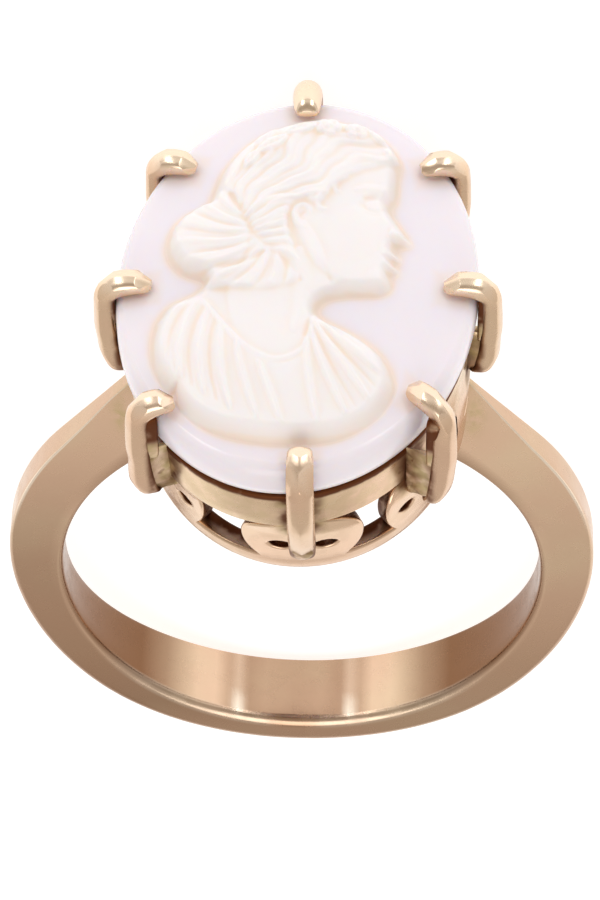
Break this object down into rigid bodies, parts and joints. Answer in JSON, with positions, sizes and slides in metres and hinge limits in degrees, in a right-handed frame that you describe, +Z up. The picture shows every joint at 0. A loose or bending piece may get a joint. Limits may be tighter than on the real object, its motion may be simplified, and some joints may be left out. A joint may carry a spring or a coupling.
{
  "type": "cameo ring",
  "caption": "Lady's ring lying on its side: carved shell oval held by gold claws in a pierced gallery, on a band broad at the palm.",
  "frame": {"origin": "centre of the bounding box at its base, on the surface that the ring lies on", "axes": "+X across the band, +Y from the stone towards the band's palm, +Z up; the ring lies on the claw above the cameo's head and on the edge of its palm, and the stone faces -Y"},
  "size_m": [0.021, 0.0278, 0.0176],
  "materials": {
    "gold": "worn satin rose gold",
    "carved_shell": "polished pale shell with a cream relief"
  },
  "bodies": {
    "root": {"ring_mount": "gold", "cameo": "carved_shell"}
  },
  "joints": []
}
